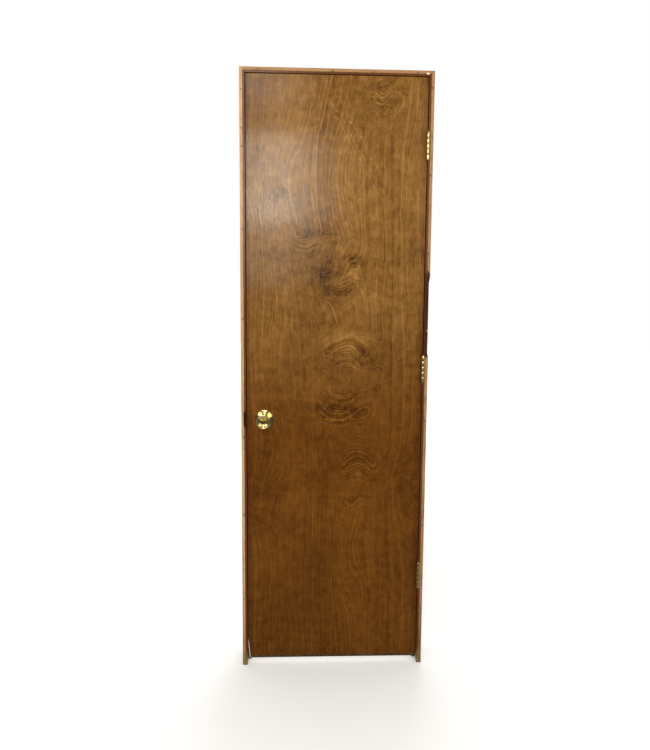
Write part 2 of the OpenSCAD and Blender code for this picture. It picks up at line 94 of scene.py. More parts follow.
# ---------------------------------------------------------------- a small kit for node materials
class Paint:
    """Builds one procedural material. Its values are sockets or plain numbers."""

    def __init__(self, name):
        self.mat = bpy.data.materials.new(name)
        self.mat.use_nodes = True
        self.tree = self.mat.node_tree
        self.tree.nodes.clear()
        self.bsdf = self.node("ShaderNodeBsdfPrincipled")
        out = self.node("ShaderNodeOutputMaterial")
        self.tree.links.new(self.bsdf.outputs[0], out.inputs[0])
        place = self.node("ShaderNodeTexCoord").outputs["Object"]
        split = self.node("ShaderNodeSeparateXYZ")
        self.tree.links.new(place, split.inputs[0])
        self.x, self.y, self.z = split.outputs

    def node(self, kind, **settings):
        made = self.tree.nodes.new(kind)
        for key, value in settings.items():
            setattr(made, key, value)
        return made

    def put(self, socket, value):
        if isinstance(value, bpy.types.NodeSocket):
            self.tree.links.new(value, socket)
        else:
            socket.default_value = value

    def set(self, **values):
        """Sets the shader's own sockets. An underscore in a name stands for a space."""
        for key, value in values.items():
            self.put(self.bsdf.inputs[key.replace("_", " ")], value)

    def do(self, op, a, b=0.0, c=0.0):
        made = self.node("ShaderNodeMath", operation=op)
        for socket, value in zip(made.inputs, (a, b, c)):
            self.put(socket, value)
        return made.outputs[0]

    def add(self, a, b):
        return self.do("ADD", a, b)

    def sub(self, a, b):
        return self.do("SUBTRACT", a, b)

    def mul(self, a, b):
        return self.do("MULTIPLY", a, b)

    def mad(self, a, b, c):
        return self.do("MULTIPLY_ADD", a, b, c)

    def most(self, a, b):
        return self.do("MAXIMUM", a, b)

    def least(self, a, b):
        return self.do("MINIMUM", a, b)

    def turn(self, a):
        return self.sub(1.0, a)

    def off(self, a, b=0.0):
        """How far a is from b, either way."""
        return self.do("ABSOLUTE", self.sub(a, b) if b else a)

    def step(self, value, low, high, to_low=0.0, to_high=1.0):
        """Smooth step from low to high."""
        made = self.node("ShaderNodeMapRange", interpolation_type="SMOOTHSTEP")
        for socket, v in zip(made.inputs, (value, low, high, to_low, to_high)):
            self.put(socket, v)
        return made.outputs[0]

    def vec(self, x, y, z):
        made = self.node("ShaderNodeCombineXYZ")
        for socket, value in zip(made.inputs, (x, y, z)):
            self.put(socket, value)
        return made.outputs[0]

    def noise(self, x, y, z, scale=1.0, detail=2.0, rough=0.5, bend=0.0):
        made = self.node("ShaderNodeTexNoise")
        self.put(made.inputs["Vector"], self.vec(x, y, z))
        self.put(made.inputs["Scale"], scale)
        self.put(made.inputs["Detail"], detail)
        self.put(made.inputs["Roughness"], rough)
        self.put(made.inputs["Distortion"], bend)
        return made.outputs["Fac"]

    def grain(self, sx, sy, sz, detail=2.0, rough=0.5, shift=0.0, bend=0.0):
        """Noise over the object's own place, with its own frequency along each axis."""
        return self.noise(
            self.mad(self.x, sx, shift), self.mad(self.y, sy, shift * 0.7),
            self.mad(self.z, sz, shift * 1.3), 1.0, detail, rough, bend,
        )

    def drift(self, x, y, z, rough=0.5, detail=2.0):
        """Noise about zero, for bending and shifting other patterns."""
        return self.sub(self.noise(x, y, z, 1.0, detail, rough), 0.5)

    def lines(self, w, detail=3.0, rough=0.6):
        """Noise along one number: uneven lines, as growth rings are."""
        made = self.node("ShaderNodeTexNoise", noise_dimensions="1D")
        self.put(made.inputs["W"], w)
        self.put(made.inputs["Scale"], 1.0)
        self.put(made.inputs["Detail"], detail)
        self.put(made.inputs["Roughness"], rough)
        return made.outputs["Fac"]

    def spot(self, cx, cz, rx, rz, x=None, z=None):
        """A soft round patch, 1 in its middle and falling away to 0."""
        dx = self.mul(self.sub(self.x if x is None else x, cx), 1 / rx)
        dz = self.mul(self.sub(self.z if z is None else z, cz), 1 / rz)
        d2 = self.mad(dx, dx, self.mul(dz, dz))
        return self.do("EXPONENT", self.mul(d2, -1.0))

    def mix(self, share, a, b, kind="MIX"):
        made = self.node("ShaderNodeMix", data_type="RGBA", blend_type=kind)
        self.put(made.inputs[0], share)
        self.put(made.inputs[6], a)
        self.put(made.inputs[7], b)
        return made.outputs[2]

    def tinted(self, share, colour, tint):
        """colour, multiplied by tint where share is 1."""
        return self.mix(share, colour, self.mix(1.0, colour, tint, "MULTIPLY"))

    def ramp(self, share, *stops):
        made = self.node("ShaderNodeValToRGB")
        bar = made.color_ramp.elements
        while len(bar) < len(stops):
            bar.new(0.5)
        for element, (at, colour) in zip(bar, stops):
            element.position = at
            element.color = colour
        self.put(made.inputs[0], share)
        return made.outputs[0]

    def bump(self, height, depth, strength=1.0, socket="Normal"):
        """height runs from 0 to 1 and stands for depth in metres."""
        made = self.node("ShaderNodeBump")
        self.put(made.inputs["Strength"], strength)
        self.put(made.inputs["Distance"], depth)
        self.put(made.inputs["Height"], height)
        self.put(self.bsdf.inputs[socket], made.outputs[0])


# ---------------------------------------------------------------- wood
RAW_LIGHT = srgb(218, 188, 148)
RAW_MID = srgb(196, 160, 118)
RAW_DARK = srgb(150, 110, 72)
STAIN_LIGHT = srgb(98, 56, 26)
STAIN_DARK = srgb(52, 25, 10)
DIRT = srgb(56, 42, 26)

# Heights on the veneer are above the slab's lower edge.
# Growth-ring centres: x, height, half width, half height, rings
FRONT_RINGS = [
    (-0.020, 1.700, 0.100, 0.330, 5.5),
    (0.010, 1.365, 0.075, 0.075, 4.0),
    (0.045, 0.420, 0.060, 0.190, 3.5),
    (-0.175, 1.660, 0.075, 0.260, 7.0),
    (-0.210, 1.060, 0.060, 0.160, 3.0),
    (-0.225, 0.560, 0.050, 0.110, 4.0),
    (0.265, 1.560, 0.050, 0.300, 2.5),
    (0.260, 0.640, 0.060, 0.140, 4.0),
]
# Cathedral figures, whose lines are nested arches: x, height, half width and rise of an arch,
# 1 for a cup or -1 for an arch, lines in one rise, half width and half height of the patch
FRONT_ARCHES = [
    (0.022, 0.925, 0.070, 0.050, 1, 4.0, 0.125, 0.100),
    (0.035, 1.105, 0.080, 0.050, -1, 4.0, 0.110, 0.080),
    (0.085, 0.715, 0.060, 0.055, -1, 4.5, 0.080, 0.085),
    (0.062, 0.585, 0.045, 0.035, 1, 3.0, 0.060, 0.040),
    (0.148, 1.955, 0.045, 0.045, 1, 4.0, 0.065, 0.070),
    (-0.105, 1.470, 0.090, 0.035, 1, 2.0, 0.080, 0.040),
    (0.020, 1.330, 0.060, 0.040, 1, 3.0, 0.060, 0.034),
]
# Dark smudges: x, height, half width, half height, strength
FRONT_SMUDGES = [
    (-0.185, 1.655, 0.022, 0.018, 0.75),
    (-0.215, 1.640, 0.030, 0.016, 0.40),
    (-0.105, 1.523, 0.030, 0.020, 0.55),
    (-0.050, 1.515, 0.045, 0.016, 0.35),
    (-0.040, 1.875, 0.022, 0.016, 0.25),
    (-0.035, 1.395, 0.036, 0.030, 0.80),
    (0.060, 1.405, 0.045, 0.028, 0.75),
    (-0.010, 1.320, 0.042, 0.030, 0.60),
    (0.060, 1.330, 0.050, 0.030, 0.50),
    (-0.020, 1.210, 0.036, 0.012, 0.55),
    (0.130, 2.005, 0.036, 0.012, 0.60),
    (0.165, 1.940, 0.026, 0.014, 0.50),
    (0.240, 1.440, 0.045, 0.030, 0.35),
    (-0.040, 1.075, 0.080, 0.040, 0.40),
    (0.110, 1.085, 0.050, 0.030, 0.35),
    (-0.010, 0.925, 0.060, 0.020, 0.80),
    (0.060, 0.915, 0.030, 0.012, 0.50),
    (-0.075, 0.820, 0.036, 0.018, 0.55),
    (-0.240, 0.720, 0.060, 0.120, 0.25),
    (-0.215, 0.610, 0.060, 0.025, 0.30),
    (0.255, 0.730, 0.055, 0.120, 0.28),
    (0.265, 0.620, 0.045, 0.030, 0.30),
    (0.060, 0.590, 0.032, 0.014, 0.65),
    (0.070, 0.440, 0.030, 0.020, 0.45),
]
# Pale streaks and patches, in the same order. The second, high on the left, is a painted highlight where the
# varnish shines.
FRONT_PALES_AND_SHEEN = [
    (0.060, 1.165, 0.110, 0.020, 0.55),
    (-0.180, 1.860, 0.090, 0.100, 0.20),
    (0.120, 1.480, 0.060, 0.100, 0.15),
    (-0.130, 0.590, 0.060, 0.030, 0.30),
]
# Where one strip of veneer meets the next
FRONT_SEAMS = [-0.075, 0.185]

BACK_RINGS = [
    (0.040, 1.620, 0.090, 0.300, 8.0),
    (-0.120, 1.180, 0.080, 0.160, 8.0),
    (0.100, 0.820, 0.100, 0.140, 9.0),
    (-0.030, 0.420, 0.080, 0.200, 7.0),
    (0.220, 1.340, 0.050, 0.220, 5.0),
    (-0.220, 0.720, 0.060, 0.260, 5.0),
    (-0.200, 1.760, 0.060, 0.160, 4.0),
]
BACK_SMUDGES = [
    (0.030, 1.500, 0.050, 0.024, 0.55),
    (-0.110, 1.110, 0.040, 0.020, 0.60),
    (0.120, 0.740, 0.050, 0.020, 0.60),
    (-0.020, 0.330, 0.040, 0.016, 0.50),
    (0.210, 1.900, 0.040, 0.020, 0.45),
    (-0.230, 0.560, 0.040, 0.060, 0.40),
]
BACK_ARCHES = [
    (0.100, 0.790, 0.060, 0.060, 1, 5.0, 0.095, 0.100),
    (-0.115, 1.190, 0.060, 0.070, -1, 5.0, 0.090, 0.110),
    (-0.030, 0.390, 0.050, 0.070, -1, 4.0, 0.080, 0.110),
    (0.035, 1.560, 0.055, 0.080, 1, 4.0, 0.080, 0.110),
]
BACK_LIGHTS = [(-0.150, 1.420, 0.090, 0.040, 0.35), (0.160, 0.300, 0.070, 0.060, 0.30)]
BACK_SEAMS = [-0.150, 0.090]


# Growth lines per metre in plain wood, before the noise on them
LINES = 62.0
# The count of rings that makes a ring centre a full figure
FULL_RINGS = 11


def growth_field(p, wx, wz, rings, arches, seams):
    """A number whose contours are the growth lines, and how far each place belongs to a figure, 0 to 1."""
    field = p.mul(wx, LINES)
    focus = 0.0
    for cx, cz, rx, rz, count in rings:
        here = p.spot(cx, cz, rx, rz, wx, wz)
        field = p.mad(here, count, field)
        focus = p.mad(here, count / FULL_RINGS, focus)
    for cx, cz, half, rise, way, count, rx, rz in arches:
        across = p.mul(p.sub(wx, cx), 1 / half)
        bent = p.mad(across, across, p.mul(p.sub(wz, cz), -way / rise))
        here = p.step(p.spot(cx, cz, rx, rz, wx, wz), 0.15, 0.75)
        # each figure takes its own stretch of the noise
        bent = p.mad(bent, count, 11.0 + 31.0 * cx)
        field = p.mad(p.sub(bent, field), here, field)
        focus = p.add(focus, here)
    for i, seam in enumerate(seams):
        past = p.do("GREATER_THAN", p.x, seam)
        field = p.mad(past, 37.3 + 11.1 * i, field)
    return field, p.least(focus, 1.0)


def patches(p, places, wx, wz):
    """Soft patches, each with its own strength."""
    total = 0.0
    for cx, cz, rx, rz, much in places:
        total = p.mad(p.spot(cx, cz, rx, rz, wx, wz), much, total)
    return total


def veneer(name, rings, arches, smudges, lights, seams, seed):
    """Rotary-cut birch under a brown stain.

    Gives the paint, the height above the lower edge, the colour and the patterns that the varnish follows.
    """
    p = Paint(name)
    up = p.sub(p.z, SLAB_Z0)
    sway = p.drift(p.mad(p.x, 7.0, seed), 0.0, p.mul(up, 2.1))
    ripple = p.drift(p.mad(p.x, 38.0, seed), 0.0, p.mul(up, 11.0), 0.55)
    lift = p.drift(p.mad(p.x, 6.0, seed + 9), 0.0, p.mul(up, 5.0))
    wx = p.mad(sway, 0.050, p.mad(ripple, 0.012, p.x))
    wz = p.mad(lift, 0.10, p.mad(ripple, 0.014, up))

    def blot(x, z, across, along, shift, detail, rough, bend=0.0):
        """Noise over the face, with its frequencies across and along the grain."""
        return p.noise(p.mad(x, across, seed + shift), 0.0, p.mul(z, along), 1.0, detail, rough, bend)

    # the growth lines, from the broadest to single pale hairs and dark veins
    field, focus = growth_field(p, wx, wz, rings, arches, seams)
    broad = p.lines(p.mul(field, 0.42), 2.0, 0.55)
    growth = p.lines(p.mul(field, 1.35), 4.0, 0.66)
    fine = p.lines(p.mul(field, 5.0), 3.0, 0.65)
    hair = p.lines(p.mad(field, 1.9, 31.0), 1.0, 0.5)
    hair = p.step(p.off(hair, 0.53), 0.035, 0.004)
    vein = p.lines(p.mad(field, 1.3, 77.0), 1.0, 0.5)
    vein = p.step(p.off(vein, 0.47), 0.030, 0.004)
    # what lies over them
    fibre = blot(p.x, up, 950.0, 16.0, 0, 2.0, 0.6)
    fleck = blot(p.x, up, 520.0, 60.0, 3, 1.0, 0.5)
    cloud = blot(wx, wz, 5.0, 3.2, 5, 4.0, 0.6)
    curl = blot(wx, wz, 16.0, 34.0, 7, 3.0, 0.55, 0.6)
    mottle = blot(wx, wz, 44.0, 30.0, 4, 5.0, 0.72)
    streak = blot(wx, wz, 150.0, 16.0, 6, 3.0, 0.7)
    shows = p.step(cloud, 0.35, 0.65)

    # tone is 0 in the darkest stain and 1 in the palest
    tone = 0.47
    for pattern, much in (
        (growth, p.mad(focus, 0.62, 0.34)), (broad, 0.20), (fine, p.mad(focus, 0.44, 0.24)),
        (streak, 0.26), (cloud, 0.42), (curl, 0.32), (mottle, 0.72), (fibre, 0.34),
    ):
        tone = p.mad(p.sub(pattern, 0.5), much, tone)
    tone = p.mad(p.mul(hair, p.mad(shows, 0.6, 0.4)), 0.20, tone)
    tone = p.mad(p.mul(vein, p.turn(shows)), -0.16, tone)

    inked = p.step(blot(wx, wz, 46.0, 62.0, 2, 4.0, 0.65, 1.6), 0.42, 0.66)
    smear = p.least(patches(p, smudges, wx, wz), 1.0)
    tone = p.sub(tone, p.mul(smear, p.mad(inked, 0.42, 0.12)))
    # paler patches; on the front, the one high on the left is a painted highlight
    tone = p.mad(patches(p, lights, wx, wz), 0.30, tone)

    # pale checks running aslant in the upper half
    along = p.mad(p.x, 1.67, p.mad(ripple, 0.060, up))
    reach = p.mul(p.step(up, 1.60, 1.72), p.step(up, 2.02, 1.92))
    band = p.step(p.off(along, 1.935), 0.075, 0.035)
    checks = p.step(p.lines(p.mad(sway, 4.0, p.mul(along, 95.0)), 1.0, 0.5), 0.50, 0.70)
    checks = p.mul(p.mul(checks, reach), p.mul(band, p.step(streak, 0.30, 0.60)))
    tone = p.mad(checks, 0.24, tone)
    # the figure is softer in the lower half
    soft = p.most(p.step(up, 0.90, 1.35, 0.72, 0.95), p.mul(focus, 1.05))
    tone = p.mad(p.sub(tone, 0.5), soft, 0.5)

    colour = p.ramp(
        tone,
        (0.00, srgb(44, 26, 6)),
        (0.20, srgb(76, 48, 15)),
        (0.40, srgb(110, 74, 29)),
        (0.60, srgb(137, 97, 46)),
        (0.80, srgb(161, 120, 65)),
        (1.00, srgb(190, 149, 95)),
    )
    # darker towards the foot: painted shade, as less light reaches the lower door
    colour = p.tinted(p.step(up, 1.32, 0.80), colour, srgb(210, 184, 116))
    # darker along the long edges and over the lowest 5 cm
    rim = p.step(p.off(p.mad(ripple, 0.02, p.x)), SLAB_X - 0.030, SLAB_X)
    rim = p.most(rim, p.step(up, 0.05, 0.0, 0.0, 0.35))
    colour = p.tinted(p.mul(rim, 0.45), colour, srgb(170, 130, 96))
    # floor dirt on the lower edge
    scuff = p.step(p.mad(ripple, 0.007, up), 0.0105, 0.0075)
    dirt_and_shade = p.ramp(fleck, (0.40, srgb(30, 22, 10)), (0.66, srgb(104, 94, 64)))
    colour = p.mix(p.mul(scuff, 0.9), colour, dirt_and_shade)
    # the short dashes of birch
    dash = p.mul(p.step(fleck, 0.62, 0.74), 0.35)
    colour = p.tinted(dash, colour, srgb(150, 112, 80))
    for i, seam in enumerate(seams):
        away = p.off(p.sub(p.x, p.mad(sway, 0.002, seam)))
        line = p.mul(p.step(away, 0.0012, 0.0003), p.step(cloud, 0.30, 0.60))
        shade = srgb(186, 128, 66) if i % 2 == 0 else srgb(66, 34, 12)
        colour = p.mix(p.mul(line, 0.24), colour, shade)

    # rubbed and scratched round the knob
    touch = p.spot(KNOB_X, KNOB_Z, 0.060, 0.080)
    scratch = blot(p.x, up, 90.0, 700.0, 0, 1.0, 0.5)
    colour = p.mix(p.mul(touch, p.step(scratch, 0.60, 0.75)), colour, srgb(150, 100, 52))
    return p, up, colour, (growth, fibre, ripple, cloud)


def varnish(p, patterns):
    """A satin clear coat over the stained wood."""
    growth, fibre, ripple, cloud = patterns
    relief = p.mad(growth, 0.55, p.mad(fibre, 0.35, p.mul(ripple, 0.4)))
    p.bump(relief, 0.45 * MM, 0.9)
    # the varnish follows the open grain, which breaks its shine into streaks
    streaks = p.mad(growth, 0.35, p.mad(fibre, 0.75, p.mul(ripple, 0.6)))
    p.bump(streaks, 0.24 * MM, 0.9, "Coat Normal")
    p.set(Roughness=p.mad(cloud, 0.22, 0.36))
    p.set(Specular_IOR_Level=0.03, Coat_Weight=0.72, Coat_Roughness=0.135, Coat_IOR=1.32)


def sawn_edges(p, colour, fibre):
    """The skins' cut edges show three plies, which the stain has only touched."""
    edge_in, edge_out = 0.35 * MM, 0.15 * MM
    side = p.step(p.off(p.x), SLAB_X - edge_in, SLAB_X - edge_out)
    ends = p.most(p.step(p.z, SLAB_Z0 + edge_in, SLAB_Z0 + edge_out),
                  p.step(p.z, SLAB_Z1 - edge_in, SLAB_Z1 - edge_out))
    ply = p.lines(p.mad(p.y, 1100.0, p.mul(fibre, 0.4)), 1.0, 0.5)
    edge = p.ramp(ply, (0.30, srgb(70, 38, 18)), (0.55, srgb(134, 84, 44)), (0.75, srgb(170, 120, 72)))
    return p.mix(p.most(side, ends), colour, edge)


def front_veneer():
    p, up, colour, patterns = veneer(
        "stained_birch_front", FRONT_RINGS, FRONT_ARCHES, FRONT_SMUDGES, FRONT_PALES_AND_SHEEN, FRONT_SEAMS, 3.0)
    fibre = patterns[1]
    # bare wood where the corner broke off: the break is where these three shares add up to 1
    wedge = p.mad(p.sub(p.x, -SLAB_X), 1 / CHIP_X, p.mul(up, 1 / CHIP_Z))
    depth = p.mul(p.sub(p.y, FACE_Y), 1 / CHIP_Y)
    broken = p.step(p.add(wedge, depth), 1.24, 1.10)
    bare = p.ramp(fibre, (0.25, srgb(246, 206, 164)), (0.75, srgb(255, 240, 222)))
    colour = p.mix(broken, colour, bare)
    p.set(Base_Color=sawn_edges(p, colour, fibre))
    varnish(p, patterns)
    return p.mat


def back_veneer():
    p, _, colour, patterns = veneer(
        "stained_birch_back", BACK_RINGS, BACK_ARCHES, BACK_SMUDGES, BACK_LIGHTS, BACK_SEAMS, 41.0)
    p.set(Base_Color=sawn_edges(p, colour, patterns[1]))
    varnish(p, patterns)
    return p.mat


# How far the pith of every board lies from the board's middle, so that its rings cut the faces as arcs
PITH = 0.10
PITH_DEPTH = 0.055


def board(name, run, seed, stain=None, dirt=0.25, knots=(), tint=(255, 255, 255), marks=None):
    """Softwood whose grain runs along the axis run.

    stain(p, wander) gives how stained a place is, 0 to 1, and marks(p, colour, grime) adds later marks; both
    can also carry painted shade.
    knots are (place along the board, radius).
    """
    p = Paint(name)
    along, across = (p.z, p.x) if run == "z" else (p.x, p.z)

    def pattern(fine, long, shift, detail, rough, deep=None):
        """Noise with its frequencies across and along the board, and through its depth if that differs."""
        return p.noise(p.mul(across, fine), p.mul(p.y, deep or fine), p.mad(along, long, shift),
                       1.0, detail, rough)

    bow = p.sub(pattern(6.0, 1.3, seed, 2.0, 0.5), 0.5)
    wave = p.sub(pattern(30.0, 9.0, seed, 2.0, 0.5), 0.5)
    u = p.sub(p.add(p.mad(bow, 0.05, across), p.mul(wave, 0.006)), PITH * math.cos(seed))
    v = p.sub(p.add(p.mad(bow, 0.03, p.y), p.mul(wave, 0.006)), -PITH_DEPTH)
    for at, size in knots:
        u = p.mad(p.spot(at, DEPTH * 0.55, size * 2.2, size, along, p.y), size * 1.2, u)
    radius = p.do("SQRT", p.mad(u, u, p.mul(v, v)))
    late = p.step(p.lines(p.mul(radius, 330.0), 2.0, 0.5), 0.52, 0.74)
    if run == "z":
        fibre = p.grain(900.0, 900.0, 22.0, 3.0, 0.6, seed)
    else:
        fibre = p.grain(22.0, 900.0, 900.0, 3.0, 0.6, seed)
    patch = pattern(20.0, 4.0, seed + 2, 3.0, 0.6)
    tone = p.mad(p.sub(patch, 0.5), 0.9, p.mad(p.sub(fibre, 0.5), 0.5, 0.62))

    # bare wood, its late rings and its knots
    raw = p.ramp(tone, (0.15, RAW_DARK), (0.55, RAW_MID), (0.9, RAW_LIGHT))
    raw = p.mix(p.mul(late, 0.55), raw, srgb(150, 96, 52))
    for at, size in knots:
        core = p.spot(at, DEPTH * 0.55, size * 0.55, size * 0.42, along, p.y)
        raw = p.mix(p.step(core, 0.25, 0.7), raw, srgb(86, 46, 22))
    raw = p.mix(1.0, raw, srgb(*tint), "MULTIPLY")
    grime = pattern(60.0, 26.0, seed + 5, 4.0, 0.65)
    raw = p.mix(p.mul(p.step(grime, 0.50, 0.78), dirt), raw, DIRT)
    foot = p.step(p.z, 0.30, 0.02)
    raw = p.tinted(p.mul(foot, 0.60), raw, srgb(176, 156, 128))

    colour, gloss = raw, 0.72
    if stain is not None:
        wander = p.sub(pattern(300.0, 55.0, seed, 4.0, 0.7, 150.0), 0.5)
        share = stain(p, wander)
        deep = p.ramp(p.mad(p.sub(late, 0.5), -0.35, tone), (0.1, STAIN_DARK), (0.8, STAIN_LIGHT))
        colour = p.mix(share, raw, deep)
        gloss = p.mad(share, -0.36, 0.72)
        p.set(Coat_Weight=p.mul(share, 0.25), Coat_Roughness=0.22)
    # floor dirt, over stain and bare wood alike
    sole = p.step(p.z, 0.060, 0.020)
    blotch = pattern(240.0, 130.0, seed + 8, 3.0, 0.6)
    colour = p.mix(p.mul(sole, 0.75), colour, srgb(158, 136, 92))
    colour = p.mix(p.mul(sole, p.mul(p.step(blotch, 0.47, 0.55), 0.90)), colour, DIRT)
    if marks is not None:
        colour = marks(p, colour, grime)
    p.set(Base_Color=colour, Roughness=gloss, Specular_IOR_Level=0.10)
    p.bump(p.mad(fibre, 0.5, p.mul(late, 0.35)), 0.3 * MM, 0.8)
    return p.mat


def torn_stretch(p, above, top, bottom, below):
    """1 along the tear, between its own ends moved by these four lengths, which also soften them."""
    return p.mul(p.step(p.z, TORN_Z[1] + above, TORN_Z[1] - top),
                 p.step(p.z, TORN_Z[0] - below, TORN_Z[0] + bottom))


def leg_stain_and_tear_shade(side):
    """Stained up to a wavering line on the front edge. side is 1 for the hinge leg, where painted shade
    darkens the torn stretch across the whole front edge.
    """
    def share(p, wander):
        inner = p.sub(p.mul(p.x, side), INNER_X)
        inner = p.mad(wander, 0.0050, inner)
        line = EDGE_STAIN
        # painted shade: along the tear the dark covers the whole front edge and the break
        if side > 0:
            torn = torn_stretch(p, 0.030, 0.010, 0.004, 0.006)
            torn = p.mul(torn, p.step(p.mad(wander, 0.02, p.y), TORN_Y + 0.007, TORN_Y + 0.002))
            line = p.mad(torn, 0.020, EDGE_STAIN)
        return p.step(p.sub(inner, line), 0.0008, -0.0008)
    return share


def head_stain(p, wander):
    return p.step(p.mad(wander, 0.005, p.sub(p.z, HEAD_Z)), EDGE_STAIN + 0.0006, EDGE_STAIN - 0.0010)


def all_stained(p, wander):
    return p.step(wander, 0.33, 0.30)


def stile_stain(p, wander):
    """Stain that ran onto the slab's long edges."""
    edge = p.step(p.off(p.x), SLAB_X - 0.002, SLAB_X - 0.001)
    return p.mul(p.step(wander, 0.36, 0.14), edge)


def on_front(p):
    return p.step(p.y, 0.004, 0.001)


def rust(p, colour, holes, wide, high):
    """A dark ring and a little rust round each nail hole in the front edge."""
    dark = 0.0
    for x, z in holes:
        dark = p.most(dark, p.spot(x, z, wide, high))
    dark = p.mul(dark, on_front(p))
    return p.mix(p.mul(p.step(dark, 0.15, 0.75), 0.85), colour, srgb(74, 44, 20))


def strike_marks_and_shade(p, colour, grime):
    """Nail holes, and the scoop round the strike plate, painted nearly black: dark stain, and painted shade in
    the recess.
    """
    colour = rust(p, colour, [(NAIL_IN - OUTER_X, z) for z in LEFT_NAILS], 0.0026, 0.0034)
    # the scoop: dark stain and painted shade, nearly black
    round_knob = p.step(p.off(p.z, KNOB_Z), 0.034, 0.020)
    inner = p.step(p.sub(p.mul(p.x, -1.0), INNER_X), 0.0106, 0.0090)
    dirt_and_shade = p.mul(p.mul(round_knob, inner), p.step(p.y, 0.032, 0.020))
    return p.mix(p.mul(dirt_and_shade, 0.9), colour, srgb(30, 16, 8))


def hinge_marks_and_shade(p, colour, grime):
    """Nail holes, and painted shade over the torn stretch."""
    # painted shade, darkening the wood along the tear
    torn = torn_stretch(p, 0.024, 0.004, 0.010, 0.010)
    torn = p.mul(torn, p.step(p.y, TORN_Y + 0.012, TORN_Y))
    colour = p.tinted(torn, colour, srgb(186, 170, 156))
    return rust(p, colour, [(OUTER_X - NAIL_IN, z) for z in RIGHT_NAILS], 0.0026, 0.0034)


def head_marks(p, colour, grime):
    """Nail holes, and a speck of white wall paint near the hinge end."""
    colour = rust(p, colour, [(x, HEAD_Z + 0.009) for x in HEAD_NAILS], 0.0030, 0.0026)
    speck = p.mul(p.spot(0.3020, HEAD_Z + 0.0082, 0.0052, 0.0034), on_front(p))
    speck = p.step(p.mad(p.sub(grime, 0.5), 0.5, speck), 0.35, 0.50)
    return p.mix(speck, colour, srgb(250, 232, 212))


# ---------------------------------------------------------------- metal and card
# How deep the fine scratches are in worn metal, and in metal under lacquer
WORN = 0.04 * MM
SMOOTH = 0.002 * MM


def dark_brass(name, seed):
    """Dark brass, in patches."""
    p = Paint(name)
    patch = p.grain(90.0, 90.0, 60.0, 4.0, 0.65, seed)
    p.set(Base_Color=p.ramp(patch, (0.3, srgb(58, 42, 26)), (0.75, srgb(128, 98, 54))))
    p.set(Roughness=p.mad(patch, 0.3, 0.35), Metallic=0.8)
    p.bump(patch, 0.05 * MM, 0.6)
    return p.mat


def metal(name, light, dark, rough, wear, seed, scratch=WORN, turned=0.0):
    """Metal with dull patches, fine scratches and a little tarnish. turned is how far it shows lathe marks."""
    p = Paint(name)
    patch = p.grain(55.0, 55.0, 40.0, 4.0, 0.65, seed)
    hair = p.grain(420.0, 900.0, 160.0, 2.0, 0.5, seed + 3)
    spot = p.grain(340.0, 340.0, 340.0, 2.0, 0.5, seed + 6)
    tarnish = p.mul(p.step(patch, 0.48, 0.75), wear)
    tarnish = p.most(tarnish, p.mul(p.step(spot, 0.68, 0.74), wear))
    p.set(Base_Color=p.mix(tarnish, light, dark))
    p.set(Roughness=p.mad(tarnish, 0.35, p.mad(hair, 0.10, rough)), Metallic=1.0)
    if turned:
        around = p.node("ShaderNodeTangent", direction_type="RADIAL", axis="Y")
        p.set(Anisotropic=turned, Tangent=around.outputs[0])
    p.bump(p.mad(hair, 0.6, p.mul(patch, 0.4)), scratch, 0.5)
    return p.mat


def card(name):
    p = Paint(name)
    fibre = p.grain(300.0, 300.0, 120.0, 4.0, 0.7, 2.0)
    p.set(Base_Color=p.ramp(fibre, (0.3, srgb(122, 94, 64)), (0.7, srgb(176, 144, 104))), Roughness=0.9)
    p.bump(fibre, 0.3 * MM, 0.7)
    return p.mat


# ---------------------------------------------------------------- shapes made here
def new_piece(name, mesh, body, material):
    piece = bpy.data.objects.new(name, mesh)
    bpy.context.scene.collection.objects.link(piece)
    piece.data.materials.append(material)
    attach(piece, body)
    return piece


def lathe(name, profile, y, sign, turns=128):
    """A closed ring of the profile's (radius, height) points round the knobs' axis.

    Heights start at y, and grow away from the slab: towards -Y when sign is -1.
    """
    bm = bmesh.new()
    angles = [2 * math.pi * i / turns for i in range(turns)]
    rings = [
        [bm.verts.new((KNOB_X + radius * math.cos(a), y + sign * height, KNOB_Z + radius * math.sin(a)))
         for a in angles]
        for radius, height in profile
    ]
    for a, b in zip(rings, rings[1:] + rings[:1]):
        for i in range(turns):
            j = (i + 1) % turns
            bm.faces.new((a[i], a[j], b[j], b[i]))
    bmesh.ops.recalc_face_normals(bm, faces=bm.faces)
    mesh = bpy.data.meshes.new(name)
    bm.to_mesh(mesh)
    bm.free()
    for polygon in mesh.polygons:
        polygon.use_smooth = True
    return mesh


def arc(cx, cy, r, start, end, n):
    """Points of an arc, its angles in degrees."""
    turns = [math.radians(start + (end - start) * i / n) for i in range(n + 1)]
    return [(cx + r * math.cos(a), cy + r * math.sin(a)) for a in turns]


def smooth_curve(points, steps=6):
    """A smooth curve through the points (Catmull-Rom)."""
    ends = [points[0], *points, points[-1]]
    out = []
    for p0, p1, p2, p3 in zip(ends, ends[1:], ends[2:], ends[3:]):
        for i in range(steps):
            t = i / steps
            out.append(tuple(
                0.5 * (2 * b + (c - a) * t + (2 * a - 5 * b + 4 * c - d) * t * t
                       + (3 * b - a - 3 * c + d) * t * t * t)
                for a, b, c, d in zip(p0, p1, p2, p3)))
    out.append(points[-1])
    return out


def in_mm(points):
    return [(radius * MM, height * MM) for radius, height in points]


